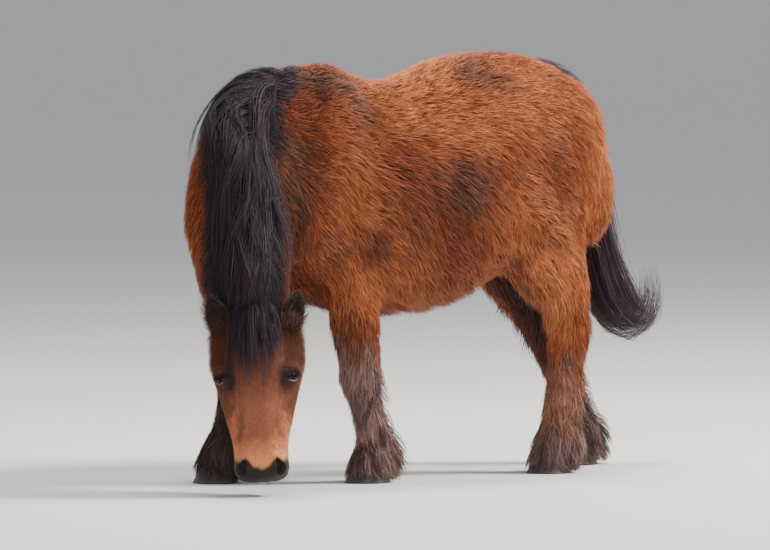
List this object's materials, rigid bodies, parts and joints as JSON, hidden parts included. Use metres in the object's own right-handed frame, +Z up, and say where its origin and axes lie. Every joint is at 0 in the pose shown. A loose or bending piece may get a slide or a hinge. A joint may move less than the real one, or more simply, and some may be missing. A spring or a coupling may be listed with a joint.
{
  "type": "shetland pony model",
  "caption": "Life-size still model of a bay pony in its winter coat, standing with its head lowered to graze.",
  "frame": {"origin": "on the floor, under the middle of the pony's bounding box", "axes": "+X the way the trunk faces, +Y the pony's left, +Z up"},
  "size_m": [1.4706, 0.6212, 1.0012],
  "materials": {
    "coat": "shaggy red-brown hair",
    "points": "dark hair of the legs and ears",
    "mane": "long black hair",
    "hoof": "dark dull horn",
    "eye": "wet dark brown"
  },
  "bodies": {
    "root": {"head": "coat", "neck": "coat", "torso": "coat", "tail": "mane", "upper_foreleg_left": "coat", "upper_foreleg_right": "coat", "foreleg_left": "points", "foreleg_right": "points", "thigh_left": "coat", "thigh_right": "coat", "hindleg_left": "points", "hindleg_right": "points", "forehoof_left": "hoof", "forehoof_right": "hoof", "hindhoof_left": "hoof", "hindhoof_right": "hoof", "ear_left": "points", "ear_right": "points", "eye_left": "eye", "eye_right": "eye"}
  },
  "joints": []
}
